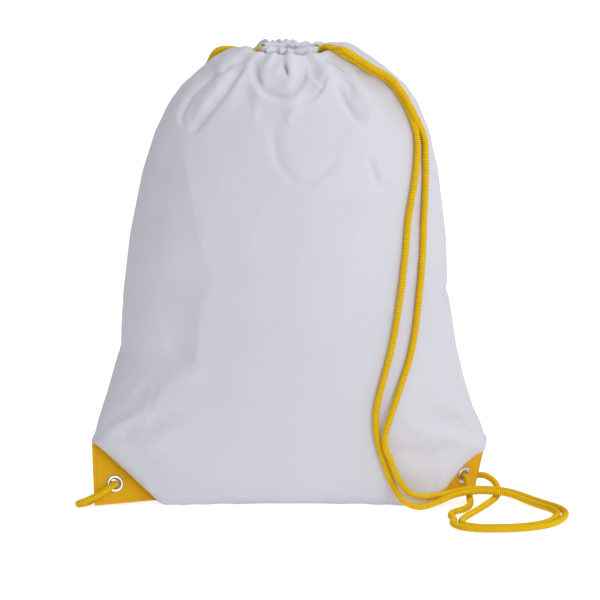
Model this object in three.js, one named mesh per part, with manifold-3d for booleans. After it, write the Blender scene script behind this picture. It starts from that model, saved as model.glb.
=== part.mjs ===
// Drawstring backpack: a stuffed cloth sack with a gathered neck, two corded straps,
// triangular corner patches and eyelets. Millimetres, +Z up, X across the bag,
// -Y is the front. The origin is the middle of the footprint on the floor.
import * as THREE from "three";
import { mergeVertices } from "three/addons/utils/BufferGeometryUtils.js";
import Module from "manifold-3d";

const wasm = await Module();
wasm.setup();

// ---- driving dimensions ----------------------------------------------------
const FABRIC = 1.2;            // thickness of a cloth sheet
const GAP = 0.3;               // clearance kept between neighbouring pieces
const CORD_RADIUS = 2.75;
const CORD_LIFT = 5;           // cord centre above the cloth it lies on
const PATCH_LEG = 56;          // right-angled sides of a corner patch
const PATCH_THICKNESS = 1.0;
const PATCH_MARGIN = 4.8;      // the stiff patch stops this far short of the sack's seams
const EYELET_FROM_SIDE = 19.7; // eyelet centre from the patch's side edge
const EYELET_FROM_BASE = 17;   // eyelet centre from the patch's bottom edge
const EYELET_HOLE_RADIUS = 4.25;
const EYELET_BARREL_RADIUS = 4.75;
const EYELET_FLANGE_RADIUS = 7.5;
const KNOT_RADIUS = 5.2;
const NECK_WIDTH = 24;         // half axes of the cinched channel's middle line
const NECK_DEPTH = 12;
const CHANNEL_MIDDLE = 386;    // height of the channel's middle
const CHANNEL_HEIGHT = 24;
const CHANNEL_WIDTH = 11;
const CHANNEL_GAP = 25;        // degrees left open at each side of the neck
const PASS_OFFSET = 4.5;       // the two cords in a channel run this far off its middle
const COLUMNS = 26;            // cells across a cloth sheet
const SEAM_BOW = 8;            // the bottom seam's middle lies this far behind the origin

// Levels of the sack from the bottom seam up to the neck gather:
// height, left half width, right half width, half depth, left and right seam y.
const LEVELS = [
  [0, 110, 118, 38, -33, -37],
  [8, 117, 125, 48, -33, -34],
  [30, 141, 144, 58, -31, -18],
  [55, 168, 166, 62, -30, 0],
  [70, 164, 160, 65, -25, 1],
  [95, 155, 150, 69, -16, 0],
  [130, 147, 143, 72, -6, 0],
  [180, 143, 137, 72, 0, 0],
  [230, 137, 134, 69, 0, 0],
  [285, 126, 127, 62, 0, 0],
  [320, 115, 119, 54, 0, 0],
  [345, 103, 109, 46, 0, 0],
  [360, 91, 98, 41, 0, 0],
  [371, 79, 85, 37, 0, 0],
];
// The gathered cloth between the sack and the channel, in the same columns.
const GATHER_LEVELS = [
  [373.5, 77, 82, 36, 0, 0],
  [381, 66, 68, 32, 0, 0],
  [385, 54, 55, 28, 0, 0],
  [385.5, 44, 44, 24, 0, 0],
  [381, 36, 36, 20.5, 0, 0],
];
const GATHER_FOOT = 376.5;     // height where the gather meets the channel
const GATHER_SPAN = 80;        // degrees each way from the front, open at the sides

// Corner flaps: the tip on the floor, the inner end on the bottom seam and the
// upper end on the side seam.
const LEFT_FLAP = {
  tip: new THREE.Vector3(-167, -50, 2.2),
  inner: new THREE.Vector3(-111, -33, 3),
  upper: new THREE.Vector3(-169.5, -30, 55),
  side: -1,
};
const RIGHT_FLAP = {
  tip: new THREE.Vector3(158.4, 5.7, 3),
  inner: new THREE.Vector3(121, -37, 3),
  upper: new THREE.Vector3(170, 3.5, 57),
  side: 1,
};

// ---- materials -------------------------------------------------------------
const material = (color, roughness, metalness = 0) =>
  new THREE.MeshStandardMaterial({ color, roughness, metalness });
const CLOTH = material(0xd2d4de, 0.5);
const LEATHERETTE = material(0xd69f06, 0.45);
const CORD = material(0xe8ba14, 0.75);
const NICKEL = material(0xb9bcc0, 0.25, 1);

const bag = new THREE.Group();

function add(name, geometry, finish, parent = bag) {
  const mesh = new THREE.Mesh(geometry, finish);
  mesh.name = name;
  parent.add(mesh);
  return mesh;
}

// ---- solids from point grids -------------------------------------------------
function signedVolume(points, faces) {
  const cross = new THREE.Vector3();
  return faces.reduce((sum, [a, b, c]) => {
    cross.crossVectors(points[b], points[c]);
    return sum + points[a].dot(cross) / 6;
  }, 0);
}

function solidFromFaces(points, faces) {
  const flip = signedVolume(points, faces) < 0;
  const index = faces.flatMap(([a, b, c]) => (flip ? [a, c, b] : [a, b, c]));
  const geometry = new THREE.BufferGeometry();
  const positions = points.flatMap((p) => p.toArray());
  geometry.setAttribute("position", new THREE.Float32BufferAttribute(positions, 3));
  geometry.setIndex(index);
  geometry.computeVertexNormals();
  return geometry;
}

// Joins an outer and an inner grid of points into one closed sheet. With wrap,
// the columns close on themselves and the sheet is a tube with two open ends.
function sheetSolid(outer, inner, wrap = false) {
  const rows = outer.length;
  const columns = outer[0].length;
  const points = [...outer.flat(), ...inner.flat()];
  const at = (row, column) => row * columns + (column % columns);
  const below = (row, column) => rows * columns + at(row, column);
  const faces = [];
  const quad = (a, b, c, d) => faces.push([a, b, c], [a, c, d]);
  const lastColumn = wrap ? columns : columns - 1;
  for (let r = 0; r < rows - 1; r += 1) {
    for (let c = 0; c < lastColumn; c += 1) {
      quad(at(r, c), at(r, c + 1), at(r + 1, c + 1), at(r + 1, c));
      quad(below(r, c), below(r + 1, c), below(r + 1, c + 1), below(r, c + 1));
    }
    if (!wrap) {
      quad(at(r, 0), at(r + 1, 0), below(r + 1, 0), below(r, 0));
      quad(at(r + 1, lastColumn), at(r, lastColumn), below(r, lastColumn), below(r + 1, lastColumn));
    }
  }
  for (let c = 0; c < lastColumn; c += 1) {
    quad(at(0, c + 1), at(0, c), below(0, c), below(0, c + 1));
    quad(at(rows - 1, c), at(rows - 1, c + 1), below(rows - 1, c + 1), below(rows - 1, c));
  }
  return solidFromFaces(points, faces);
}

// ---- the sack's surface ------------------------------------------------------
function levelAt(levels, height) {
  const last = levels.length - 1;
  const upper = Math.max(1, Math.min(last, levels.findIndex((level) => level[0] >= height)));
  const share = (height - levels[upper - 1][0]) / (levels[upper][0] - levels[upper - 1][0]);
  return levels[upper].map((value, i) => THREE.MathUtils.lerp(levels[upper - 1][i], value, share));
}

// The y of the line that the two sheets share. Angle runs from the left seam (-90)
// to the right one (90).
function seamAt([, , , , leftSeam, rightSeam, bow = 0], angle) {
  const across = Math.sin(angle);
  const side = Math.abs(across) ** 2.5 * (across < 0 ? leftSeam : rightSeam);
  return side + bow * Math.cos(angle) ** 2;
}

// A point on the sheet.
function sheetPoint(level, angle, facing) {
  const [height, left, right, depth] = level;
  const x = Math.sin(angle) * (angle < 0 ? left : right);
  const y = seamAt(level, angle) + facing * depth * Math.cos(angle);
  return new THREE.Vector3(x, y, height);
}

// Offsets a grid inwards by the cloth thickness, and keeps it on its own side of
// the seam plane.
function thicken(outer, facing, seams) {
  const rows = outer.length;
  const columns = outer[0].length;
  const across = new THREE.Vector3();
  const along = new THREE.Vector3();
  return outer.map((row, r) => row.map((point, c) => {
    across.subVectors(row[Math.min(c + 1, columns - 1)], row[Math.max(c - 1, 0)]);
    along.subVectors(outer[Math.min(r + 1, rows - 1)][c], outer[Math.max(r - 1, 0)][c]);
    const inward = new THREE.Vector3().crossVectors(across, along).normalize();
    if (facing < 0) {
      inward.negate();
    }
    const inner = point.clone().addScaledVector(inward, FABRIC);
    const limit = seams[r][c] + facing * GAP / 2;
    inner.y = facing < 0 ? Math.min(inner.y, limit) : Math.max(inner.y, limit);
    return inner;
  }));
}

function columnAngles(span) {
  const limit = THREE.MathUtils.degToRad(span);
  return Array.from({ length: COLUMNS + 1 }, (_, c) => limit * (2 * c / COLUMNS - 1));
}

function sheetGrid(levels, facing, span) {
  const angles = columnAngles(span);
  const outer = levels.map((level) => angles.map((angle) => {
    const point = sheetPoint(level, angle, facing);
    point.y += facing * GAP / 2;
    return point;
  }));
  const seams = levels.map((level) => angles.map((angle) => seamAt(level, angle)));
  return { outer, seams };
}

// The bottom of a panel lies flat on the floor, from the bottom seam outwards. The
// last number is how far the seam bows back in its middle.
const BASE_LEVELS = [
  [0, 102, 110, 0, -33, -37, SEAM_BOW],
  [0, 105, 113, 14, -33, -37, SEAM_BOW / 2],
  [0, 108, 116, 27, -33, -37],
];

function panel(facing) {
  const { outer, seams } = sheetGrid([...BASE_LEVELS, ...LEVELS], facing, 90);
  const inner = thicken(outer, facing, seams);
  inner.slice(0, BASE_LEVELS.length).flat().forEach((point) => {
    point.z = FABRIC;
  });
  return sheetSolid(outer, inner);
}

// ---- the neck ----------------------------------------------------------------
function neckPoint(angle, offset, facing) {
  const x = NECK_WIDTH * Math.cos(angle);
  const y = NECK_DEPTH * Math.sin(angle);
  const normal = new THREE.Vector2(x / NECK_WIDTH ** 2, y / NECK_DEPTH ** 2).normalize();
  return new THREE.Vector2(x + normal.x * offset, facing * (y + normal.y * offset));
}

// One hem channel: a flat tube that follows the neck and is open at both ends.
function channelTube(facing) {
  const steps = 22;
  const first = THREE.MathUtils.degToRad(CHANNEL_GAP);
  const outline = (halfWidth, halfHeight) => [
    [-halfWidth, -halfHeight + 2], [-halfWidth + 2, -halfHeight],
    [halfWidth - 2, -halfHeight], [halfWidth, -halfHeight + 2],
    [halfWidth, halfHeight - 3], [halfWidth - 3, halfHeight],
    [-halfWidth + 3, halfHeight], [-halfWidth, halfHeight - 3],
  ];
  const loop = (halfWidth, halfHeight) => Array.from({ length: steps + 1 }, (_, i) => {
    const angle = first + (Math.PI - 2 * first) * i / steps;
    return outline(halfWidth, halfHeight).map(([offset, up]) => {
      const place = neckPoint(angle, offset, facing);
      return new THREE.Vector3(place.x, place.y, CHANNEL_MIDDLE + up);
    });
  });
  const outer = loop(CHANNEL_WIDTH / 2, CHANNEL_HEIGHT / 2);
  const inner = loop(CHANNEL_WIDTH / 2 - FABRIC, CHANNEL_HEIGHT / 2 - FABRIC);
  return sheetSolid(outer, inner, true);
}

function gatherSheet(facing) {
  const { outer, seams } = sheetGrid(GATHER_LEVELS, facing, GATHER_SPAN);
  const foot = columnAngles(GATHER_SPAN).map((angle) => {
    const place = neckPoint(Math.PI / 2 - angle, CHANNEL_WIDTH / 2 - GAP, facing);
    return new THREE.Vector3(place.x, place.y, GATHER_FOOT);
  });
  outer.push(foot);
  seams.push(foot.map(() => 0));
  const inner = thicken(outer, facing, seams);
  return sheetSolid(outer, inner);
}

function toManifold(geometry) {
  const bare = geometry.clone();
  bare.deleteAttribute("normal");
  bare.deleteAttribute("uv");
  const merged = mergeVertices(bare, 1e-4);
  return new wasm.Manifold(new wasm.Mesh({
    numProp: 3,
    vertProperties: new Float32Array(merged.attributes.position.array),
    triVerts: new Uint32Array(merged.index.array),
  }));
}

function fromManifold(solid) {
  const { vertProperties, triVerts } = solid.getMesh();
  const geometry = new THREE.BufferGeometry();
  geometry.setAttribute("position", new THREE.Float32BufferAttribute(vertProperties, 3));
  geometry.setIndex(Array.from(triVerts));
  geometry.computeVertexNormals();
  return geometry;
}

function channel(facing) {
  return fromManifold(toManifold(channelTube(facing)).add(toManifold(gatherSheet(facing))));
}

// ---- cords -------------------------------------------------------------------
function cord(points) {
  const path = new THREE.CatmullRomCurve3(points, false, "centripetal");
  const section = new THREE.Shape();
  const sides = 8;
  for (let i = 0; i < sides; i += 1) {
    const angle = 2 * Math.PI * i / sides;
    const place = [CORD_RADIUS * Math.cos(angle), CORD_RADIUS * Math.sin(angle)];
    if (i === 0) {
      section.moveTo(...place);
    } else {
      section.lineTo(...place);
    }
  }
  section.closePath();
  const steps = Math.max(4, Math.round(path.getLength() / 7));
  return new THREE.ExtrudeGeometry(section, { steps, extrudePath: path, bevelEnabled: false });
}

const V = (x, y, z) => new THREE.Vector3(x, y, z);

// A cord point lying on the sack at a given x and height, lifted off the cloth.
function onSack(x, height, facing, lift = CORD_LIFT) {
  const level = levelAt(LEVELS, height);
  const across = x / (x < 0 ? level[1] : level[2]);
  const angle = Math.asin(THREE.MathUtils.clamp(across, -1, 1));
  const slope = V(Math.sin(angle), facing * Math.cos(angle), 0);
  return sheetPoint(level, angle, facing).addScaledVector(slope, lift);
}

// A cord's pass through one channel. The cord of a side turns round at the other
// side of the neck, and comes out of the channel's end at its own side.
function channelPass(side, facing) {
  const height = CHANNEL_MIDDLE + side * PASS_OFFSET;
  const turn = -side * (NECK_WIDTH + 1.5);
  const points = [V(turn, facing * 0.5, height), V(turn, facing * 2, height)];
  const steps = 10;
  const first = THREE.MathUtils.degToRad(CHANNEL_GAP);
  for (let i = 0; i <= steps; i += 1) {
    const angle = first + (Math.PI - 2 * first) * i / steps;
    const place = neckPoint(angle, 0, facing);
    points.push(V(-side * place.x, place.y, height));
  }
  points.push(V(side * (NECK_WIDTH + 2.4), facing * 3.4, height + 0.6));
  return cord(points);
}

const RIGHT_SHOULDER_A = [
  V(30, -5, 393), V(42, -5.5, 395), V(55, -6.5, 393.7), V(68, -8.5, 389.8),
  V(80.5, -11, 381.8), onSack(88, 363, -1, 7.6), onSack(98.5, 343, -1), onSack(106, 325, -1),
];
const RIGHT_SHOULDER_B = [
  V(30, 2, 392.5), V(42, 1.5, 394), V(56, 0.5, 393), V(70, -1.5, 388.5),
  V(84, -3.5, 380), V(98, -5, 366), onSack(107, 346, -1, 6), onSack(113, 325, -1),
];
const LEFT_SHOULDER_A = [
  V(-30, -2.5, 391), V(-42, -1.5, 394), V(-55, -0.5, 393), V(-69, 1.5, 388.5),
  V(-82, 4.5, 379), onSack(-92.5, 361, 1, 7), onSack(-98, 343, 1), onSack(-100, 330, 1),
];
const LEFT_SHOULDER_B = [
  V(-30, 4.5, 391.5), V(-41, 5.5, 395), V(-53, 6.5, 393.7), V(-65, 8.5, 389.8),
  V(-76.5, 12, 381.3), onSack(-85, 361, 1, 7.6), onSack(-91, 343, 1), onSack(-93, 330, 1),
];

// The right strap hangs down the front, lies in a slack loop on the floor and
// comes back to the corner flap.
const RIGHT_STRAND_A = [
  onSack(106.5, 319, -1), onSack(106, 300, -1), onSack(103, 275, -1), onSack(99, 250, -1),
  onSack(95, 205, -1), onSack(91, 175, -1), onSack(86, 145, -1), onSack(79, 118, -1),
  onSack(74, 96, -1), onSack(72.5, 80, -1), onSack(74.5, 62, -1), onSack(79, 44, -1),
  onSack(86, 26, -1), V(96, -64, 11), V(110, -63, 4.5), V(126, -54, 6.5),
  V(141, -42.5, 10.5), V(160, -33.5, 10.5), V(185, -34.5, 9), V(207, -46, 3.6),
  V(224, -66, 3.2), V(228, -84, 3.2), V(221, -104, 3.2), V(208, -116, 3.2),
  V(190, -122.5, 3.2), V(165, -124, 3.2), V(150, -118, 3.2), V(145.5, -107, 3.2),
  V(149, -92, 3.2), V(158, -72, 3.2), V(166, -54, 3.2), V(173, -36, 3.2),
  V(178, -18, 3.2), V(179, -6, 4.2),
];
const RIGHT_STRAND_B = [
  onSack(113.8, 319, -1), onSack(114.2, 300, -1), onSack(113.5, 270, -1), onSack(112, 245, -1),
  onSack(110.5, 215, -1), onSack(108.5, 185, -1), onSack(105, 155, -1), onSack(100.5, 132, -1),
  onSack(93, 110, -1, 6), onSack(86.5, 88, -1, 9), onSack(82, 70, -1, 11), onSack(84, 52, -1, 11),
  onSack(91, 33, -1, 9), V(101, -60, 18), V(113, -56, 12), V(127, -47, 11),
  V(141, -35.5, 11), V(160, -26.5, 11), V(187, -27.5, 9), V(213, -41, 3.6),
  V(231, -63, 3.2), V(235, -84, 3.2), V(227, -108, 3.2), V(211, -122.5, 3.2),
  V(190, -129.5, 3.2), V(164, -131, 3.2), V(146, -124, 3.2), V(138.3, -110, 3.2),
  V(140, -98, 3.2), V(137, -86, 3.2), V(139, -75, 3.2), V(147, -67, 3.2),
  V(153, -56, 3.2), V(154.5, -40, 3.2), V(154, -26, 3.2), V(153.5, -20, 5.5),
];
// The left strap hangs down the back and runs round to the left corner flap.
const LEFT_STRAND_A = [
  onSack(-101, 324, 1), onSack(-102, 300, 1), onSack(-103.5, 260, 1), onSack(-104.5, 210, 1),
  onSack(-105, 165, 1), V(-106, 56, 125), V(-108, 58.5, 80), V(-110.5, 61, 40),
  V(-113, 62, 15), V(-118.5, 58, 4.2), V(-130, 46, 3.2), V(-142, 25, 3.2),
  V(-150.5, 3, 3.2), V(-152.5, -12, 3.2),
];
const LEFT_STRAND_B = [
  onSack(-94, 324, 1), onSack(-94.5, 300, 1), onSack(-96, 260, 1), onSack(-97, 210, 1),
  onSack(-97.5, 165, 1), V(-98.5, 60.5, 125), V(-100.5, 63, 80), V(-103, 65, 40),
  V(-105, 63.5, 15), V(-110.5, 55, 4.2), V(-123.5, 41.5, 3.2), V(-135, 21, 3.2),
  V(-143, 1, 3.2), V(-145, -12, 3.2),
];

function addCords() {
  add("right_cord_front_pass", channelPass(1, -1), CORD);
  add("right_cord_back_pass", channelPass(1, 1), CORD);
  add("left_cord_front_pass", channelPass(-1, -1), CORD);
  add("left_cord_back_pass", channelPass(-1, 1), CORD);
  add("right_shoulder_strand_a", cord(RIGHT_SHOULDER_A), CORD);
  add("right_shoulder_strand_b", cord(RIGHT_SHOULDER_B), CORD);
  add("left_shoulder_strand_a", cord(LEFT_SHOULDER_A), CORD);
  add("left_shoulder_strand_b", cord(LEFT_SHOULDER_B), CORD);
  add("right_strap_strand_a", cord(RIGHT_STRAND_A), CORD);
  add("right_strap_strand_b", cord(RIGHT_STRAND_B), CORD);
  add("left_strap_strand_a", cord(LEFT_STRAND_A), CORD);
  add("left_strap_strand_b", cord(LEFT_STRAND_B), CORD);
}

// ---- corner flaps ------------------------------------------------------------
// A flap's own frame: out points away from the bag along the bottom edge, up runs
// along the side edge and front is the outer face's normal. The origin is the tip.
function flapFrame(flap) {
  const inward = flap.inner.clone().sub(flap.tip).normalize();
  const up = flap.upper.clone().sub(flap.tip);
  up.addScaledVector(inward, -up.dot(inward)).normalize();
  const right = inward.clone().multiplyScalar(-flap.side);
  const front = new THREE.Vector3().crossVectors(right, up);
  const basis = new THREE.Matrix4().makeBasis(right, up, front);
  basis.setPosition(flap.tip);
  return basis;
}

// In from the side edge, up from the bottom edge and forward of the middle plane.
function flapPoint(flap, inward, up, forward) {
  return V(-flap.side * inward, up, forward);
}

function patchGeometry(flap) {
  const leg = PATCH_LEG - PATCH_MARGIN;
  const rounding = 2;
  const outline = new THREE.Shape();
  outline.moveTo(-flap.side * rounding, 0);
  outline.lineTo(-flap.side * leg, 0);
  outline.lineTo(0, leg);
  outline.lineTo(0, rounding);
  outline.quadraticCurveTo(0, 0, -flap.side * rounding, 0);
  const hole = new THREE.Path();
  const centre = flapPoint(flap, EYELET_FROM_SIDE, EYELET_FROM_BASE, 0);
  const clockwise = flap.side < 0;  // the hole winds against the outline
  hole.absarc(centre.x, centre.y, EYELET_BARREL_RADIUS + GAP, 0, 2 * Math.PI, clockwise);
  outline.holes.push(hole);
  return new THREE.ExtrudeGeometry(outline, {
    depth: PATCH_THICKNESS, bevelEnabled: false, curveSegments: 16,
  });
}

const PATCH_FACE = GAP / 2 + PATCH_THICKNESS;  // outer face from the middle plane
const FLANGE_FOOT = PATCH_FACE + GAP;
const FLANGE_HEIGHT = 1.1;
const WASHER_THICKNESS = 0.8;

// Lathe profiles are pairs of radius and distance in front of the flap's middle.
function turned(profile) {
  const points = profile.map(([radius, forward]) => new THREE.Vector2(radius, forward));
  points.push(points[0].clone());
  return new THREE.LatheGeometry(points, 28).rotateX(Math.PI / 2);
}

function eyeletGeometry() {
  const crown = FLANGE_FOOT + FLANGE_HEIGHT;
  const lip = -(FLANGE_FOOT + WASHER_THICKNESS + GAP);
  return turned([
    [EYELET_BARREL_RADIUS, FLANGE_FOOT],
    [EYELET_FLANGE_RADIUS, FLANGE_FOOT],
    [EYELET_FLANGE_RADIUS, FLANGE_FOOT + 0.4],
    [EYELET_FLANGE_RADIUS - 0.9, crown - 0.1],
    [EYELET_FLANGE_RADIUS - 1.8, crown],
    [EYELET_HOLE_RADIUS + 0.6, crown - 0.1],
    [EYELET_HOLE_RADIUS, crown - 0.6],
    [EYELET_HOLE_RADIUS, lip - 0.6],
    [EYELET_BARREL_RADIUS + 1.2, lip - 0.6],
    [EYELET_BARREL_RADIUS + 1.2, lip],
    [EYELET_BARREL_RADIUS, lip],
  ]);
}

function washerGeometry() {
  return turned([
    [EYELET_BARREL_RADIUS + GAP, -FLANGE_FOOT],
    [EYELET_BARREL_RADIUS + GAP, -FLANGE_FOOT - WASHER_THICKNESS],
    [EYELET_FLANGE_RADIUS - 0.3, -FLANGE_FOOT - WASHER_THICKNESS],
    [EYELET_FLANGE_RADIUS, -FLANGE_FOOT],
  ]);
}

function knotGeometry() {
  return new THREE.SphereGeometry(KNOT_RADIUS, 14, 10).scale(1.1, 0.95, 1);
}

const KNOT_FROM_SIDE = 17.5;   // knot centre from the flap's side and bottom edges
const KNOT_FROM_BASE = 16;
const KNOT_BACK = 9.6;         // knot centre behind the flap's middle plane

// The cord goes from the knot through the eyelet and shows in front of the flap.
function eyeletCord(flap, front) {
  const start = flapPoint(flap, KNOT_FROM_SIDE + 1, KNOT_FROM_BASE + 0.5, KNOT_RADIUS - KNOT_BACK + 0.6);
  return cord([start, flapPoint(flap, EYELET_FROM_SIDE, EYELET_FROM_BASE, 0), ...front]);
}

function leftEyeletCord(flap) {
  return eyeletCord(flap, [
    flapPoint(flap, 18.5, 16.5, 5.2), flapPoint(flap, 13, 13.5, 7),
    flapPoint(flap, 5, 9.5, 7), flapPoint(flap, -4, 6, 6.2),
    flapPoint(flap, -11, 3.6, 3.4), flapPoint(flap, -13.8, 2.8, -1),
    flapPoint(flap, -11, 3, -5.2), flapPoint(flap, -5, 4.4, -7),
  ]);
}

function rightEyeletCord(flap) {
  return eyeletCord(flap, [flapPoint(flap, EYELET_FROM_SIDE, EYELET_FROM_BASE - 0.6, 6)]);
}

// The second strand comes round the flap's side edge to the knot behind it.
function rightEdgeCord(flap) {
  return cord([
    flapPoint(flap, 9.5, 14.5, -10), flapPoint(flap, 5, 13.5, -8.8),
    flapPoint(flap, 0, 12, -6), flapPoint(flap, -4.5, 10, -2.5),
  ]);
}

function leftKnotTail(flap) {
  return cord([
    flapPoint(flap, 17.8, 14.5, -15.4), flapPoint(flap, 18, 13.5, -18),
    flapPoint(flap, 18.3, 12.5, -21),
  ]);
}

function cornerFlap(name, flap) {
  const group = new THREE.Group();
  group.applyMatrix4(flapFrame(flap));
  const front = add(`${name}_corner_patch_front`, patchGeometry(flap), LEATHERETTE, group);
  front.position.z = GAP / 2;
  const back = add(`${name}_corner_patch_back`, patchGeometry(flap), LEATHERETTE, group);
  back.position.z = -PATCH_FACE;
  const centre = flapPoint(flap, EYELET_FROM_SIDE, EYELET_FROM_BASE, 0);
  add(`${name}_eyelet`, eyeletGeometry(), NICKEL, group).position.copy(centre);
  add(`${name}_eyelet_washer`, washerGeometry(), NICKEL, group).position.copy(centre);
  const knot = add(`${name}_cord_knot`, knotGeometry(), CORD, group);
  knot.position.copy(flapPoint(flap, KNOT_FROM_SIDE, KNOT_FROM_BASE, -KNOT_BACK));
  bag.add(group);
  return group;
}

add("front_panel", panel(-1), CLOTH);
add("back_panel", panel(1), CLOTH);
add("front_channel", channel(-1), CLOTH);
add("back_channel", channel(1), CLOTH);
addCords();
const leftCorner = cornerFlap("left", LEFT_FLAP);
add("left_eyelet_cord", leftEyeletCord(LEFT_FLAP), CORD, leftCorner);
add("left_knot_tail", leftKnotTail(LEFT_FLAP), CORD, leftCorner);
const rightCorner = cornerFlap("right", RIGHT_FLAP);
add("right_eyelet_cord", rightEyeletCord(RIGHT_FLAP), CORD, rightCorner);
add("right_edge_cord", rightEdgeCord(RIGHT_FLAP), CORD, rightCorner);

export default bag;
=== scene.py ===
"""Looks for the drawstring backpack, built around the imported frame. Lengths are in millimetres
until a mesh is made; the frame and every Blender object are in metres."""
import math

import bpy
import numpy as np
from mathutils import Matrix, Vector
from mathutils.bvhtree import BVHTree


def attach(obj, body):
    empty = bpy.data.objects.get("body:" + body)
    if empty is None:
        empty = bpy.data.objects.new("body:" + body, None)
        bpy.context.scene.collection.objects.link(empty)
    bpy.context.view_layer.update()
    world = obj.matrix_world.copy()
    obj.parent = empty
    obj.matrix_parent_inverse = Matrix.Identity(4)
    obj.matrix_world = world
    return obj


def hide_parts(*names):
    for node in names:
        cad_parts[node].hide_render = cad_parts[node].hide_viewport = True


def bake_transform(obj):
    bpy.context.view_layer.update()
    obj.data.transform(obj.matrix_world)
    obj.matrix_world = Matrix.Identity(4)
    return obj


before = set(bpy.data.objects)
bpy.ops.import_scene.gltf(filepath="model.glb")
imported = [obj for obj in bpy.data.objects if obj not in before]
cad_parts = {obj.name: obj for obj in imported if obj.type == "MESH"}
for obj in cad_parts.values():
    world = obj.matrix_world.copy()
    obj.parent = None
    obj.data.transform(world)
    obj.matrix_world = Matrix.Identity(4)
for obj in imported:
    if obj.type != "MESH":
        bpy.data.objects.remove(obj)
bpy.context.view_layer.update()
MM = 0.001

# ---- the flat pattern: u runs across the sack, v up from the bottom seam ------------------
CELL = 5.6
HALF_CELLS = 31
ROWS = 79
CORNER_CELLS = 10
HALF_WIDTH = HALF_CELLS * CELL
SEAM_HEIGHT = ROWS * CELL            # where the channel's stitching runs
CORNER = CORNER_CELLS * CELL         # legs of a corner flap
DENSITY = 3                          # cells of the finished cloth per simulated cell

FRONT, TOP, BACK = -1, 0, 1
LEFT, RIGHT = -1, 1

# Height, left and right half width, half depth, left and right seam y of the stuffed sack.
LEVELS = np.array([
    [0, 102, 110, 0, -33, -37], [0, 105, 113, 14, -33, -37], [0, 108, 116, 27, -33, -37],
    [0, 110, 118, 38, -33, -37], [8, 117, 125, 48, -33, -34], [30, 141, 144, 58, -31, -18],
    [55, 168, 166, 62, -30, 0], [70, 164, 160, 65, -25, 1], [95, 155, 150, 69, -16, 0],
    [130, 147, 143, 72, -6, 0], [180, 143, 137, 72, 0, 0], [230, 137, 134, 69, 0, 0],
    [285, 126, 127, 62, 0, 0], [320, 115, 119, 54, 0, 0], [345, 103, 109, 46, 0, 0],
    [360, 92, 99, 41, 0, 0], [373, 77, 84, 36, 0, 0], [383, 66, 70, 31.5, 0, 0],
    [390, 53, 57, 27.5, 0, 0], [393, 43, 46, 24, 0, 0], [391.5, 37, 38, 21, 0, 0],
    [384, 31, 31, 18.5, 0, 0], [377, 28.5, 28.5, 16.5, 0, 0],
], float)
BASE_LEVEL = 3.0                     # the levels up to this one lie on the floor
FULL_WIDTH_HEIGHT = 55.0             # the sack reaches its full flat width here

FLAPS = {
    LEFT: {"tip": np.array([-167, -50, 2.2]), "inner": np.array([-111.0, -33, 3]),
           "upper": np.array([-169.5, -30, 55])},
    RIGHT: {"tip": np.array([158.4, 5.7, 3]), "inner": np.array([121.0, -37, 3]),
            "upper": np.array([170, 3.5, 57])},
}


def smoothstep(x, low, high):
    t = np.clip((x - low) / (high - low), 0, 1)
    return t * t * (3 - 2 * t)


def distance_run(points):
    """The distance from the first point to each point, along a line through them."""
    return np.concatenate([[0], np.cumsum(np.linalg.norm(np.diff(points, axis=0), axis=1))])


def place_object(name, data):
    made = bpy.data.objects.new(name, data)
    bpy.context.scene.collection.objects.link(made)
    return made


# ---- the stuffed shape the simulation starts from -----------------------------------------
def level_at(p):
    rows = np.arange(len(LEVELS))
    return np.array([np.interp(p, rows, LEVELS[:, c]) for c in range(6)])


def level_curve(level, facing, angles):
    z, left, right, depth, seam_left, seam_right = level
    across = np.sin(angles)
    x = across * np.where(across < 0, left, right)
    y = np.abs(across) ** 2.5 * np.where(across < 0, seam_left, seam_right)
    y = y + facing * depth * np.cos(angles)
    return np.stack([x, y, np.full_like(x, z)], 1)


def column_points(facing, columns, samples=240):
    """Points of every column at a fine run of levels, and each level's half width in the flat."""
    angles = np.linspace(-math.pi / 2, math.pi / 2, 121)
    places = []
    for p in np.linspace(0, len(LEVELS) - 1, samples):
        level = level_at(p)
        curve = level_curve(level, facing, angles)
        half = len(angles) // 2
        steps = np.linalg.norm(np.diff(curve, axis=0), axis=1)
        run = distance_run(curve) - steps[:half].sum()
        flat_half = HALF_WIDTH - CORNER * (1 - min(level[0] / FULL_WIDTH_HEIGHT, 1))
        share = np.clip(columns / flat_half, -1, 1)
        target = np.where(share < 0, share * -run[0], share * run[-1])
        places.append(np.stack([np.interp(target, run, curve[:, k]) for k in range(3)], 1))
    return np.array(places)


def flap_point(side, from_side, from_base):
    flap = FLAPS[side]
    return (flap["tip"] + (flap["inner"] - flap["tip"]) * from_side / CORNER
            + (flap["upper"] - flap["tip"]) * from_base / CORNER)


def flap_normal(side):
    """The unit normal of a flap's front face."""
    flap = FLAPS[side]
    normal = np.cross(flap["inner"] - flap["tip"], flap["upper"] - flap["tip"]) * -side
    return normal / np.linalg.norm(normal)


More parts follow.
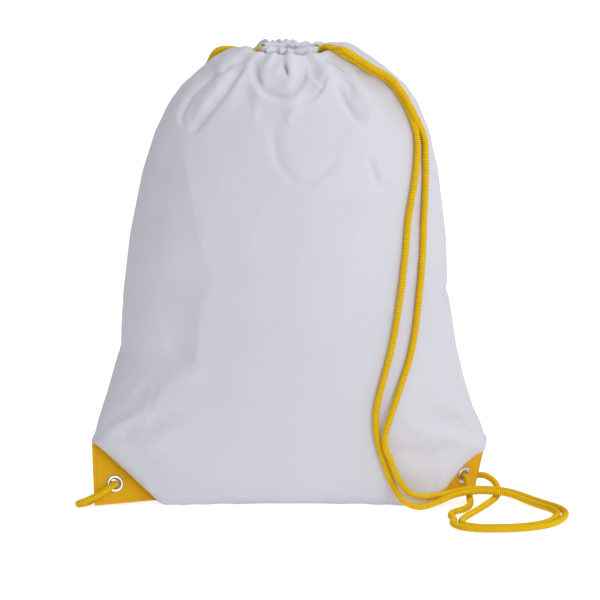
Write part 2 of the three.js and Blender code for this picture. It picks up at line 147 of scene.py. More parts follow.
def stuffed_grid(facing):
    columns = np.arange(-HALF_CELLS, HALF_CELLS + 1) * CELL
    fine = column_points(facing, columns)
    levels = np.linspace(0, len(LEVELS) - 1, len(fine))
    heights = np.array([level_at(p)[0] for p in levels])
    base_end = np.searchsorted(levels, BASE_LEVEL)
    grid = np.zeros((ROWS + 1, len(columns), 3))
    v = np.arange(ROWS + 1) * CELL
    for c, u in enumerate(columns):
        start_v = max(0.0, abs(u) - (HALF_WIDTH - CORNER))
        first = 0
        if start_v > 0:
            start_height = FULL_WIDTH_HEIGHT * start_v / CORNER
            first = base_end + np.searchsorted(heights[base_end:], start_height)
        path = fine[first:, c]
        run = distance_run(path)
        share = np.clip((v - start_v) / (SEAM_HEIGHT - start_v), 0, 1)
        for k in range(3):
            grid[:, c, k] = np.interp(share * run[-1], run, path[:, k])
        side = LEFT if u < 0 else RIGHT
        for r in np.nonzero(v < start_v + 1e-6)[0]:
            if start_v > 0:
                sheet = facing * -0.4 * flap_normal(side)
                grid[r, c] = flap_point(side, HALF_WIDTH - abs(u), v[r]) + sheet
    return grid


PLEATS = {FRONT: 6.5, BACK: 10}       # gathers across each panel at the neck
PLEAT_DEPTH = {FRONT: 1.5, BACK: 3.6}


def pleat_wave(share, facing):
    """An uneven wave across a panel; share runs from -1 at the left seam to 1 at the right."""
    shift = 0.9 if facing == FRONT else 2.3
    bend = 0.55 * np.sin(2.1 * share + shift) + 0.3 * np.sin(5.3 * share + 2 * shift)
    wave = np.sin(math.pi * PLEATS[facing] * share + 2.2 * bend)
    size = 0.75 + 0.35 * np.sin(3.7 * share + 1.4 * shift)
    return wave * size


def seeded(grid, facing):
    """Starts the neck's gathers as shallow waves that grow towards the channel."""
    du = np.gradient(grid, axis=1)
    dv = np.gradient(grid, axis=0)
    normal = np.cross(du, dv)
    normal /= np.maximum(np.linalg.norm(normal, axis=2, keepdims=True), 1e-9)
    normal *= 1 if facing == FRONT else -1
    share = np.linspace(-1, 1, grid.shape[1])[None, :]
    v = (np.arange(ROWS + 1) * CELL)[:, None]
    fade = smoothstep(v, 330, SEAM_HEIGHT) * (1 - np.abs(share) ** 8)
    size = PLEAT_DEPTH[facing] * fade * np.maximum(pleat_wave(share, facing), -0.45)
    return grid + normal * size[:, :, None]


def flat_grid(facing):
    """The cut cloth. It narrows a little towards the neck, so that the gathers stay open."""
    u = np.arange(-HALF_CELLS, HALF_CELLS + 1) * CELL
    v = np.arange(ROWS + 1) * CELL
    narrow = 1 - 0.42 * smoothstep(v, 280, SEAM_HEIGHT)
    x = u[None, :] * narrow[:, None]
    return np.stack([x, np.full_like(x, 0.2 * facing), np.repeat(v[:, None], len(u), 1)], 2)


def joined_indices():
    """Vertex numbers of both sheets' grids, which share the side and bottom seams."""
    rows, columns = ROWS + 1, 2 * HALF_CELLS + 1
    front = np.arange(rows * columns).reshape(rows, columns)
    back = np.full((rows, columns), -1)
    back[0] = front[0]
    back[:, 0] = front[:, 0]
    back[:, -1] = front[:, -1]
    free = back < 0
    back[free] = rows * columns + np.arange(free.sum())
    return front, back


def grid_faces(index, facing):
    a, b = index[:-1, :-1], index[:-1, 1:]
    c, d = index[1:, 1:], index[1:, :-1]
    quads = np.stack([a, b, c, d] if facing == FRONT else [a, d, c, b], -1)
    return quads.reshape(-1, 4).tolist()


def hold_weights(points, sheets):
    """How firmly each point stays at its place. Flaps and the channel's stitching are fixed."""
    hold = np.zeros(len(points))
    v, u = np.meshgrid(np.arange(ROWS + 1) * CELL,
                       np.arange(-HALF_CELLS, HALF_CELLS + 1) * CELL, indexing="ij")
    for index in sheets:
        weight = np.full(v.shape, 0.04)
        weight[v <= np.abs(u) - (HALF_WIDTH - CORNER) + 1e-6] = 1
        weight[-1] = 1
        on_floor = points[index][:, :, 2] < 0.5
        weight[on_floor] = np.maximum(weight[on_floor], 0.5)
        hold[index] = np.maximum(hold[index], weight)
    return hold


def sack_object(points, flat, front, back):
    """Both sheets as one mesh, whose flat pattern is the cloth's shape without strain."""
    mesh = bpy.data.meshes.new("sack")
    mesh.from_pydata((points * MM).tolist(), [], grid_faces(front, FRONT) + grid_faces(back, BACK))
    sack = place_object("sack", mesh)
    sack.shape_key_add(name="Basis")
    key = sack.shape_key_add(name="flat")
    key.data.foreach_set("co", (flat * MM).ravel())
    key.value = 0.0
    group = sack.vertex_groups.new(name="hold")
    for i, weight in enumerate(hold_weights(points, (front, back))):
        group.add([i], float(weight), "REPLACE")
    cloth = sack.modifiers.new("Cloth", "CLOTH")
    cloth.settings.vertex_group_mass = group.name
    cloth.settings.rest_shape_key = key
    for setting, value in CLOTH_SETTINGS.items():
        setattr(cloth.settings, setting, value)
    cloth.settings.effector_weights.gravity = 0
    cloth.collision_settings.use_collision = False
    return sack


CLOTH_SETTINGS = {
    "quality": 7, "mass": 0.25, "tension_stiffness": 25, "compression_stiffness": 25,
    "shear_stiffness": 8, "bending_stiffness": 0.35, "pin_stiffness": 1.0,
    "use_pressure": True, "uniform_pressure_force": 3.0,
}
SETTLING_FRAMES = 30


def simulated_sack():
    """Lets the cut cloth settle over the stuffed shape, and returns both sheets' grids."""
    front, back = joined_indices()
    points = np.zeros((back.max() + 1, 3))
    flat = np.zeros_like(points)
    for facing, index in ((BACK, back), (FRONT, front)):
        points[index] = seeded(stuffed_grid(facing), facing)
        flat[index] = flat_grid(facing)
    sack = sack_object(points, flat, front, back)
    for number in range(1, SETTLING_FRAMES + 1):
        bpy.context.scene.frame_set(number)
    evaluated = sack.evaluated_get(bpy.context.evaluated_depsgraph_get())
    settled = np.zeros(points.size)
    evaluated.data.vertices.foreach_get("co", settled)
    bpy.context.scene.frame_set(1)
    bpy.data.objects.remove(sack)
    settled = keep_outline(points, settled.reshape(-1, 3) / MM, front, back)
    return settled[front], settled[back]


def keep_outline(start, settled, front, back):
    """Takes back most of the slow drift of the settled cloth, and keeps its folds."""
    drift = settled - start
    slow = drift.copy()
    edges = []
    for index in (front, back):
        edges += [np.stack([index[:-1].ravel(), index[1:].ravel()], 1),
                  np.stack([index[:, :-1].ravel(), index[:, 1:].ravel()], 1)]
    edges = np.concatenate(edges)
    count = np.bincount(edges.ravel(), minlength=len(start))[:, None]
    for _ in range(60):
        spread = np.zeros_like(slow)
        np.add.at(spread, edges[:, 0], slow[edges[:, 1]])
        np.add.at(spread, edges[:, 1], slow[edges[:, 0]])
        slow = 0.5 * slow + 0.5 * spread / count
    result = settled - 0.85 * slow
    result[:, 2] = np.maximum(result[:, 2], 0.35)
    return result


# ---- the finished cloth -------------------------------------------------------------------
def refine_rows(grid, steps):
    """Catmull-Rom points between the rows of a grid."""
    before = np.concatenate([2 * grid[:1] - grid[1:2], grid[:-1]])[:-1]
    after = np.concatenate([grid[1:], 2 * grid[-1:] - grid[-2:-1]])[1:]
    p1, p2 = grid[:-1], grid[1:]
    rows = []
    for i in range(steps):
        t = i / steps
        rows.append(0.5 * (2 * p1 + (p2 - before) * t
                           + (2 * before - 5 * p1 + 4 * p2 - after) * t ** 2
                           + (3 * p1 - before - 3 * p2 + after) * t ** 3))
    fine = np.stack(rows, 1).reshape(-1, *grid.shape[1:])
    return np.concatenate([fine, grid[-1:]])


def refined(grid):
    fine = refine_rows(grid, DENSITY)
    return refine_rows(fine.transpose(1, 0, 2), DENSITY).transpose(1, 0, 2)


def grid_normals(grid, facing):
    normal = np.cross(np.gradient(grid, axis=1), np.gradient(grid, axis=0)) * -facing
    return normal / np.maximum(np.linalg.norm(normal, axis=2, keepdims=True), 1e-9)


def line_distance(x, z, line):
    """Signed distance to a line of points across the front, and the share of its length
    reached. Positive is on the left of the line's direction."""
    line = np.array(line, float)
    best = np.full(x.shape, 1e9)
    side = np.zeros(x.shape)
    share = np.zeros(x.shape)
    lengths = np.linalg.norm(np.diff(line, axis=0), axis=1)
    run = distance_run(line)
    for i, length in enumerate(lengths):
        ax, az = line[i]
        dx, dz = (line[i + 1] - line[i]) / length
        along = np.clip((x - ax) * dx + (z - az) * dz, 0, length)
        ox, oz = x - ax - along * dx, z - az - along * dz
        distance = np.hypot(ox, oz)
        near = distance < best
        best = np.where(near, distance, best)
        side = np.where(near, np.sign(dx * oz - dz * ox), side)
        share = np.where(near, (run[i] + along) / run[-1], share)
    return best * side, share


def smooth_line(points):
    """A rounded line through a few points."""
    points = np.array(points, float)[:, None, :]
    return refine_rows(points, max(2, 40 // len(points)))[:, 0]


def fade_ends(share, start, end):
    return smoothstep(share, 0, start) * (1 - smoothstep(share, 1 - end, 1))


def ridge(x, z, line, height, width, start, end):
    """A soft ridge, or a valley if the height is negative."""
    distance, share = line_distance(x, z, smooth_line(line))
    return height * np.exp(-(distance / width) ** 2) * fade_ends(share, start, end)


def tuck(x, z, line, height, width, start, end):
    """A fold whose left side stands proud, with a sharp edge along the line."""
    distance, share = line_distance(x, z, smooth_line(line))
    proud = np.exp(-np.abs(distance) / width)
    edge = smoothstep(distance, -1.6, 1.2)
    return height * proud * edge * fade_ends(share, start, end)


def falling_side(x, z, line, depth, width):
    """Lets the cloth on the line's left side fall back from it, and rise again further out."""
    distance, share = line_distance(x, z, smooth_line(line))
    distance = np.maximum(distance, 0)
    fall = (1 - np.exp(-distance / width)) * np.exp(-(distance / 75) ** 2)
    return -depth * fall * fade_ends(share, 0.15, 0.15)


# The folds of the front: kind, line of x and z across it, height, width, and the shares of
# the line's length over which its two ends fade.
FRONT_FOLDS = [
    # the big leaf-shaped fold left of the neck
    (tuck, [(-89, 326), (-93, 337), (-88, 349), (-78, 361), (-62, 374), (-47, 383.5), (-26, 394)],
     3.4, 8, 0.15, 0.25),
    (ridge, [(-26, 394), (-47, 383.5), (-62, 374), (-78, 361), (-88, 349), (-93, 337), (-89, 326)],
     -2.4, 2.4, 0.25, 0.12),
    (ridge, [(-33, 387), (-44, 377), (-54, 363), (-68, 346), (-79, 332), (-87, 325)],
     -4.4, 3.2, 0.25, 0.15),
    (ridge, [(-40, 384), (-58, 367), (-72, 352), (-83, 336)], 4.0, 8.0, 0.35, 0.3),
    # the pouch under the neck
    (ridge, [(-29, 389), (-29, 376), (-22, 365), (-8, 359.5), (4, 364), (12, 376), (14, 384)],
     -3.4, 2.5, 0.12, 0.12),
    (ridge, [(-36, 378), (-28, 362), (-10, 354), (7, 359), (18, 372)], 2.2, 5.0, 0.3, 0.3),
    (ridge, [(-14, 384), (-10, 370)], 2.4, 9, 0.3, 0.4),
    # the slit beside the right cord
    (ridge, [(-6, 387), (-4, 381), (-1, 375)], -6.5, 1.7, 0.35, 0.45),
    # the folds right of the neck
    (tuck, [(28, 365.5), (21, 371), (14, 377)], 4.4, 6, 0.1, 0.3),
    (tuck, [(33, 380), (31.5, 372), (28, 364), (20, 356), (8, 350)], 2.4, 6, 0.25, 0.4),
    (ridge, [(20, 356), (8, 350), (1, 345.5), (-1, 341), (6, 337)], 1.5, 3, 0.3, 0.3),
    (ridge, [(16, 384), (24, 373)], -2.4, 6.5, 0.3, 0.3),
    (tuck, [(68, 338), (67.6, 347), (62.5, 357.5), (54, 368.7), (45, 376.5), (24, 390)],
     4.2, 5.5, 0.08, 0.2),
    (ridge, [(38, 371), (46, 357), (53.7, 344), (62, 338), (67, 340)], -3.2, 2.8, 0.3, 0.3),
    # the long folds down the shoulders
    (ridge, [(42, 390), (62, 378), (80, 357), (88, 330), (86, 290)], -2.4, 8, 0.3, 0.5),
    (ridge, [(-60, 340), (-88, 290), (-96, 230), (-94, 170)], 2.2, 20, 0.4, 0.4),
    # the dents low on the left
    (ridge, [(-114, 152), (-88, 131), (-78, 121)], -2.6, 8, 0.4, 0.3),
    (ridge, [(-98, 105), (-86, 124), (-74, 150)], 1.6, 8, 0.4, 0.4),
    (ridge, [(-150, 62), (-122, 70), (-90, 88)], -2.6, 9, 0.2, 0.5),
    (ridge, [(152, 66), (128, 78), (108, 104)], -2.0, 10, 0.2, 0.5),
    # the hanging loops under the neck
    (ridge, [(-15, 349), (-13, 318), (-5, 299), (9, 289), (26, 295), (39, 309), (43, 325)],
     -1.6, 4.5, 0.3, 0.3),
    (ridge, [(65, 315), (72, 293), (77, 283), (84, 289), (91, 301)], -1.8, 3.2, 0.3, 0.3),
    # the long edge where the left side falls back
    (falling_side, [(-132, 61), (-101, 117), (-80, 137), (-77, 176), (-67, 205), (-77, 239),
                    (-87, 293), (-92, 331)], 6.5, 22),
]
# The folds of the back, all ridges: line, height and width.
BACK_FOLDS = [
    ([(-62, 380), (-84, 340), (-80, 300)], -3.0, 5), ([(-28, 382), (-40, 350), (-36, 315)], 2.6, 7),
    ([(5, 384), (12, 352), (2, 322)], -2.8, 5), ([(38, 384), (52, 352), (58, 300)], -3.0, 6),
    ([(66, 376), (88, 340), (92, 290)], 2.6, 9), ([(-130, 90), (-96, 118), (-60, 126)], -2.6, 9),
    ([(128, 80), (100, 112), (70, 122)], -2.6, 9), ([(-20, 60), (10, 48), (50, 58)], -1.8, 9),
]


def folds_height(x, z, facing):
    if facing == FRONT:
        return sum(kind(x, z, *fold) for kind, *fold in FRONT_FOLDS)
    return sum(ridge(x, z, *fold, 0.3, 0.5) for fold in BACK_FOLDS)


# How the cloth's edge above each corner patch rolls forward, sideways and down.
ROLLS = {(FRONT, LEFT): (0.4, -2.4, -1.0), (FRONT, RIGHT): (1.0, -5.5, -4.0),
         (BACK, LEFT): (-0.4, 2.0, -0.5), (BACK, RIGHT): (0.3, 1.2, -1.0)}
TIP_DROP = {LEFT: 0.0, RIGHT: -8.5}    # how far the cloth hangs over a flap's upper end


def corner_roll(u, v, facing):
    """The stuffed cloth rolls a little over the edge of each corner patch, and hangs over its
    upper end. Both sheets move alike along the side seams, which keeps them closed."""
    from_side = HALF_WIDTH - np.abs(u)
    height = (v + from_side - CORNER) / math.sqrt(2)
    upward = (v - from_side) / CORNER
    fade = (1 - smoothstep(height, 6, 32)) * smoothstep(upward, -1.3, -0.6)
    roll = fade * smoothstep(from_side, 0, 3.6) * smoothstep(height, -1, 3.5)
    hang = fade * smoothstep(height, -6, -4.5) * smoothstep(upward, 0.2, 0.95)
    spread = 3.2 * smoothstep(height, 1, 8) * (1 - smoothstep(height, 10, 24))
    sideways = hang * (spread - 2.0 * (1 - smoothstep(height, 0, 1.2)))
    moved = np.zeros((*fade.shape, 3))
    for side in (LEFT, RIGHT):
        way = (roll[:, :, None] * np.array(ROLLS[facing, side])
               + (sideways * (side == RIGHT))[:, :, None] * np.array([1, 0, 0])
               + (hang * TIP_DROP[side])[:, :, None] * np.array([0, 0, 1]))
        moved = np.where((u * side > 0)[:, :, None], way, moved)
    return moved


def crumple(u, v, facing):
    """Faint creases in all directions, a fraction of a millimetre high."""
    height = np.zeros(np.broadcast_shapes(u.shape, v.shape))
    for i in range(9):
        turn = 2.4 * i + 0.7 * facing
        length = 46 + 11 * (i % 4)
        along = (u * math.cos(turn) + v * math.sin(turn)) / length
        across = (v * math.cos(turn) - u * math.sin(turn)) / length
        wave = np.sin(math.pi * along + 1.3 * np.sin(1.1 * across + i) + 1.7 * i)
        height += (0.5 - np.abs(wave)) * (0.6 + 0.4 * np.sin(0.8 * across + 2 * i))
    return 0.5 * height


# Places of the brim: x, y, reach along x and y, and height.
CRESTS = [(-36, -6, 8, 8, 3.2), (-36, 15, 9, 12, -9.0), (50, 4, 13, 14, 2.5)]


def crest_shift(x, y, v):
    """Raises and lowers parts of the cloth's brim around the neck."""
    shift = np.zeros_like(x)
    for at_x, at_y, reach_x, reach_y, height in CRESTS:
        shift += height * np.exp(-((x - at_x) / reach_x) ** 2 - ((y - at_y) / reach_y) ** 2)
    shift *= smoothstep(v, SEAM_HEIGHT - 110, SEAM_HEIGHT - 70)
    return shift * (1 - smoothstep(v, SEAM_HEIGHT - 14, SEAM_HEIGHT - 4))


def finished_grid(grid, facing):
    """The cloth in fine steps, with its folds. The seams, hem and floor keep their place."""
    fine = refined(grid)
    normal = grid_normals(fine, facing)
    rows, columns = fine.shape[:2]
    share = np.abs(np.linspace(-1, 1, columns))[None, :]
    u = np.linspace(-HALF_WIDTH, HALF_WIDTH, columns)[None, :]
    v = np.linspace(0, SEAM_HEIGHT, rows)[:, None]
    size = folds_height(fine[:, :, 0], fine[:, :, 2], facing) + crumple(u, v, facing)
    size = size * (1 - share ** 12) * smoothstep(fine[:, :, 2], 4, 25)
    size = size * (1 - smoothstep(v, SEAM_HEIGHT - 26, SEAM_HEIGHT - 6))
    done = fine + normal * size[:, :, None] + corner_roll(u, v, facing)
    done[:, :, 2] += crest_shift(fine[:, :, 0], fine[:, :, 1], v)
    done[:, :, 2] = np.maximum(done[:, :, 2], 0.5)
    return done


def vertex_normals(points, faces):
    a, b, c, d = (points[faces[:, i]] for i in range(4))
    face = np.cross(c - a, d - b)
    normal = np.zeros_like(points)
    for i in range(4):
        np.add.at(normal, faces[:, i], face)
    return normal / np.maximum(np.linalg.norm(normal, axis=1, keepdims=True), 1e-9)


def with_thickness(points, faces, thickness):
    """Closes a sheet of quads with an inner face and a rim."""
    inner = points - vertex_normals(points, faces) * thickness
    count = len(points)
    edges = np.concatenate([faces[:, [i, (i + 1) % 4]] for i in range(4)])
    keys = np.sort(edges, 1)
    keys = keys[:, 0] * count + keys[:, 1]
    _, first, uses = np.unique(keys, return_index=True, return_counts=True)
    rim = edges[first[uses == 1]]
    sides = np.stack([rim[:, 1], rim[:, 0], rim[:, 0] + count, rim[:, 1] + count], 1)
    every = np.concatenate([faces, faces[:, ::-1] + count, sides])
    return np.concatenate([points, inner]), every


def quad_mesh(name, points, faces, finish, pattern=None):
    """A smooth object from points in millimetres. The pattern gives each point's place on the
    flat cloth, in metres."""
    used = np.unique(faces)
    number = np.zeros(len(points), int)
    number[used] = np.arange(len(used))
    faces = number[faces]
    mesh = bpy.data.meshes.new(name)
    mesh.from_pydata((points[used] * MM).tolist(), [], faces.tolist())
    mesh.polygons.foreach_set("use_smooth", np.ones(len(faces), bool))
    if pattern is not None:
        layer = mesh.uv_layers.new(name="pattern")
        layer.data.foreach_set("uv", (pattern[used][faces.ravel()] * MM).ravel())
    mesh.materials.append(finish)
    return place_object(name, mesh)


CLOTH_THICKNESS = 0.45
UNDER_PATCH = 3.0                    # the cloth runs this far on behind a corner patch


def sheet_piece(name, grid, turned, heights, finish, kept=None):
    """A grid as cloth with a thickness. The heights are its rows' places on the flat cloth."""
    rows, columns = grid.shape[:2]
    u, v = np.meshgrid(np.linspace(-HALF_WIDTH, HALF_WIDTH, columns), heights)
    faces = np.array(grid_faces(np.arange(rows * columns).reshape(rows, columns), turned))
    if kept is not None:
        faces = faces[kept(u, v).ravel()[faces].any(1)]
    pattern = np.stack([u.ravel(), v.ravel()], 1)
    points, faces = with_thickness(grid.reshape(-1, 3), faces, CLOTH_THICKNESS)
    return quad_mesh(name, points, faces, finish, np.concatenate([pattern, pattern]))


def above_patches(u, v):
    return v - (np.abs(u) - (HALF_WIDTH - CORNER)) > -UNDER_PATCH


# ---- the cinched hem ----------------------------------------------------------------------
HEM_TOP = {FRONT: 395.6, BACK: 394.8}
HEM_ROOM = 3.5                       # kept free on each side of the cords' middle line
NECK = np.array([24.0, 12.0])        # half axes of the cords' path through the hem
HEM_END = math.radians(20)           # left open at each side, where the cords come out
HEM_ROW = 1.8                        # flat cloth between two rows of the hem
SLEEVE = 3.1                         # from the cords' middle line to the cloth around them
SLEEVE_TOP = 394.6


def neck_place(angle, offset, facing):
    x, y = NECK[0] * np.cos(angle), NECK[1] * np.sin(angle)
    nx, ny = x / NECK[0] ** 2, y / NECK[1] ** 2
    size = np.hypot(nx, ny)
    return x + nx / size * offset, facing * (y + ny / size * offset)


def hem_ruffle(angle, facing):
    shift = 0.4 if facing == FRONT else 1.7
    bend = 0.7 * np.sin(3 * angle + shift) + 0.4 * np.sin(7 * angle + 2 * shift)
    wave = np.sin(14 * angle + 3.2 * bend + shift)
    return wave * (0.75 + 0.35 * np.sin(5 * angle + 3 * shift)), bend


def hem_points(facing):
    """The folded hem: up the outside, over the top and down the inside. It narrows to a
    sleeve around the cords at both ends."""
    angle = np.linspace(HEM_END, math.pi - HEM_END, 240)
    wave, bend = hem_ruffle(angle, facing)
    full = smoothstep(np.minimum(angle - HEM_END, math.pi - HEM_END - angle), 0, 0.5)
    top = SLEEVE_TOP + (HEM_TOP[facing] + 0.9 * bend + 1.1 * wave - SLEEVE_TOP) * full
    outer = SLEEVE + (HEM_ROOM - 0.7 + 2.3 * wave) * full
    inner = -(SLEEVE + (1.2 - 0.9 * wave) * full)
    low = 379.0 - 2.8 * full
    rows = []
    for up in np.linspace(0, 1, 9):
        flare = 1 + 0.55 * up ** 2 * full
        x, y = neck_place(angle, SLEEVE + (outer - SLEEVE) * flare, facing)
        rows.append(np.stack([x, y, low + (top - 3 - low) * up], 1))
    last = SLEEVE + (outer - SLEEVE) * (1 + 0.55 * full)
    for turn in np.linspace(0.2, 0.9, 6) * math.pi:
        middle, half = (last + inner) / 2, (last - inner) / 2
        x, y = neck_place(angle, middle + half * np.cos(turn), facing)
        rows.append(np.stack([x, y, top - 3 + 3 * np.sin(turn)], 1))
    for down in np.linspace(0.1, 1, 8):
        x, y = neck_place(angle, inner, facing)
        rows.append(np.stack([x, y, top - 3 + (low + 0.8 - top + 3) * down], 1))
    return np.array(rows)


# ---- corner patches -----------------------------------------------------------------------
EYELET_PLACE = np.array([19.7, 17.0])   # in from the side edge and up from the bottom edge
HOLE = 5.3
PATCH_FACE = 1.15                    # a patch's outer face from the flap's middle plane
PATCH_GAP = 0.15


def flap_axes(side):
    flap = FLAPS[side]
    inward = flap["inner"] - flap["tip"]
    inward /= np.linalg.norm(inward)
    up = flap["upper"] - flap["tip"]
    up -= inward * (up @ inward)
    up /= np.linalg.norm(up)
    return inward, up, np.cross(-side * inward, up)


def on_flap(side, inward, up, forward=0.0):
    """A point in from the side edge, up from the bottom edge and forward of the flap."""
    a, b, c = flap_axes(side)
    return FLAPS[side]["tip"] + inward * a + up * b + forward * c


PATCH_TOP = {LEFT: CORNER - 0.2, RIGHT: 46.0}   # the cloth hangs over the rest of the right one


def patch_outline(side):
    """Offsets from the eyelet's centre to the rounded triangle's edge, all the way round."""
    top = PATCH_TOP[side]
    corners = np.array([(1.2, 0), (CORNER - 1.5, 0), (CORNER - 0.2, 0.8),
                        (CORNER + 0.6 - top, top), (0, top - 1.3), (0, 1.2), (0.35, 0.35),
                        (1.2, 0)])
    run = distance_run(corners)
    place = np.linspace(0, run[-1], 240, endpoint=False)
    edge = np.stack([np.interp(place, run, corners[:, k]) for k in range(2)], 1)
    return edge - EYELET_PLACE


def closed_piece(name, grid, facing, finish):
    """A grid whose rows and columns both close into rings."""
    rows, columns = grid.shape[:2]
    index = np.arange(rows * columns).reshape(rows, columns)
    faces = np.array(grid_faces(np.pad(index, ((0, 1), (0, 1)), "wrap"), facing))
    return quad_mesh(name, grid.reshape(-1, 3), faces, finish)


# A patch from its hole to its edge: shares of the way, and heights as shares of its thickness.
PATCH_SHARES = [0, 0, 0.015, 0.06, 0.2, 0.4, 0.6, 0.8, 0.93, 0.975, 0.992, 1, 1]
PATCH_HEIGHTS = [0, 0.92, 1, 1, 0.97, 1, 1.03, 1, 1, 0.96, 0.8, 0.45, 0]


def patch_piece(name, side, facing, finish):
    """A triangle with a hole. Its edge follows the flap's corners."""
    edge = patch_outline(side)
    angle = np.arctan2(edge[:, 1], edge[:, 0])
    hole = EYELET_PLACE + HOLE * np.stack([np.cos(angle), np.sin(angle)], 1)
    outside = np.array([flap_point(side, *(EYELET_PLACE + e)) for e in edge])
    inside = np.array([on_flap(side, *h) for h in hole])
    forward = flap_axes(side)[2]
    loops = []
    for share, height in zip(PATCH_SHARES, PATCH_HEIGHTS):
        lift = -facing * (PATCH_GAP + (PATCH_FACE - PATCH_GAP) * height)
        loops.append(inside + (outside - inside) * share + forward * lift)
    return closed_piece(name, np.array(loops), FRONT if side * facing > 0 else BACK, finish)


STITCH_PITCH = 3.1
THREAD_RADIUS = 0.3


def stitch(start, step, side, facing):
    """Points of one short arched thread on a patch, as six rings of six."""
    forward = flap_axes(side)[2]
    across = np.array([-step[1], step[0]]) / np.linalg.norm(step)
    points = []
    for t in np.linspace(0, 1, 6):
        size = THREAD_RADIUS * math.sin(math.pi * (0.12 + 0.76 * t))
        for k in range(6):
            turn = 2 * math.pi * k / 6
            place = start + step * 0.72 * t + across * size * math.cos(turn)
            rise = PATCH_FACE - 0.05 + size * math.sin(turn) + 0.12 * math.sin(math.pi * t)
            points.append(flap_point(side, *place) - forward * facing * rise)
    return points


def stitch_line(a, b, side, facing):
    """Raised stitches along a line on a patch, as far up as the patch shows."""
    a, b = np.array(a, float), np.array(b, float)
    count = int(np.linalg.norm(b - a) / STITCH_PITCH)
    step = (b - a) / count
    points, faces = [], []
    for i in range(count):
        start = a + step * (i + 0.14)
        if max(start[1], (start + step)[1]) > PATCH_TOP[side] - 1.5:
            continue
        index = len(points) + np.arange(36).reshape(6, 6)
        faces += grid_faces(np.pad(index, ((0, 0), (0, 1)), "wrap"), FRONT)
        points += stitch(start, step, side, facing)
    return np.array(points), np.array(faces)


def patch_stitches(name, side, facing, finish):
    inset = 2.6
    diagonal = CORNER - inset * math.sqrt(2) - inset
    runs = [((inset, inset), (diagonal, inset)), ((inset, inset), (inset, diagonal)),
            ((diagonal, inset), (inset, diagonal))]
    points, faces, total = [], [], 0
    for a, b in runs:
        p, f = stitch_line(a, b, side, facing)
        points.append(p)
        faces.append(f + total)
        total += len(p)
    return quad_mesh(name, np.concatenate(points), np.concatenate(faces), finish)


# ---- eyelets ------------------------------------------------------------------------------
def lathe_on_flap(name, side, profile, finish):
    """Turns a closed profile of radius and forward distance about the eyelet's axis."""
    x, y = EYELET_PLACE
    turns = 2 * math.pi * np.arange(72) / 72
    grid = np.array([[on_flap(side, x + radius * math.cos(turn), y + radius * math.sin(turn),
                              forward) for turn in turns] for radius, forward in profile])
    return closed_piece(name, grid, BACK if side == LEFT else FRONT, finish)


def eyelet_profile():
    """Round crown in front, barrel through the flap and a rolled lip behind."""
    crown = [(4.35 + 1.6 * (1 - math.cos(t)), 1.3 + 1.35 * math.sin(t))
             for t in np.linspace(0, math.pi, 13)]
    rim = [(7.5, 1.45), (7.45, 1.2), (4.8, 1.2)]
    barrel = [(4.8, -2.3), (6.0, -2.35), (6.1, -2.75), (5.6, -3.0), (4.7, -2.95), (4.35, -2.4)]
    return crown + rim + barrel


def washer_profile():
    return [(5.1, -1.35), (5.1, -2.1), (5.7, -2.25), (6.9, -2.15), (7.45, -1.8), (7.5, -1.35)]


# ---- cords --------------------------------------------------------------------------------
CORD_RADIUS = 2.7
RIB_PITCH = 1.9
RIB_STEP = 0.45                      # between two points along a cord
CORD_SIDES = 14
KNOT_RADIUS = 2.5                    # of the pulled cord in a knot
CORD_ROOM = CORD_RADIUS + 0.25       # from the cloth to a cord's middle line
NECK_REACH = 42                      # closer to the middle, a cord may sink between the gathers


def dense_path(points):
    """An even run of points along a rounded line."""
    fine = refine_rows(np.array(points, float)[:, None, :], 14)[:, 0]
    run = distance_run(fine)
    place = np.linspace(0, run[-1], max(4, int(run[-1] / RIB_STEP)))
    return np.stack([np.interp(place, run, fine[:, k]) for k in range(3)], 1)


def path_frames(path):
    """Two directions across the path at every point, without sudden turns."""
    along = np.gradient(path, axis=0)
    along /= np.linalg.norm(along, axis=1, keepdims=True)
    side = np.zeros_like(along)
    start = np.array([0, 0, 1.0]) if abs(along[0, 2]) < 0.9 else np.array([1.0, 0, 0])
    current = np.cross(along[0], start)
    for i, direction in enumerate(along):
        current = current - direction * (current @ direction)
        current = current / np.linalg.norm(current)
        side[i] = current
    return side, np.cross(along, side)


def cord_piece(name, path, finish, radius=CORD_RADIUS, closed=False, part=slice(None)):
    """A round braided cord, or one part of it: slanted ribs all along, and flat ends."""
    side, other = path_frames(path)
    run = np.arange(len(path)) * np.linalg.norm(path[1] - path[0])
    path, side, other, run = path[part], side[part], other[part], run[part]
    turn = 2 * math.pi * np.arange(CORD_SIDES) / CORD_SIDES
    rib = np.cos(2 * math.pi * run[:, None] / RIB_PITCH + 2 * turn[None, :])
    cross_rib = np.cos(2 * math.pi * run[:, None] / RIB_PITCH - 3 * turn[None, :])
    size = radius * (1 + 0.08 * rib + 0.03 * cross_rib)
    if not closed:
        size[0] *= 0.02
        size[-1] *= 0.02
        path = np.concatenate([path[1:2], path[1:-1], path[-2:-1]])
    ring = (path[:, None, :] + size[:, :, None]
            * (np.cos(turn)[None, :, None] * side[:, None, :]
               + np.sin(turn)[None, :, None] * other[:, None, :]))
    index = np.arange(len(path) * CORD_SIDES).reshape(len(path), CORD_SIDES)
    index = np.pad(index, ((0, int(closed)), (0, 1)), "wrap")
    faces = np.array(grid_faces(index, BACK))
    around = turn / (2 * math.pi)
    pattern = np.stack(np.broadcast_arrays(run[:, None], around[None, :] * 17), 2).reshape(-1, 2)
    return quad_mesh(name, ring.reshape(-1, 3), faces, finish, pattern)


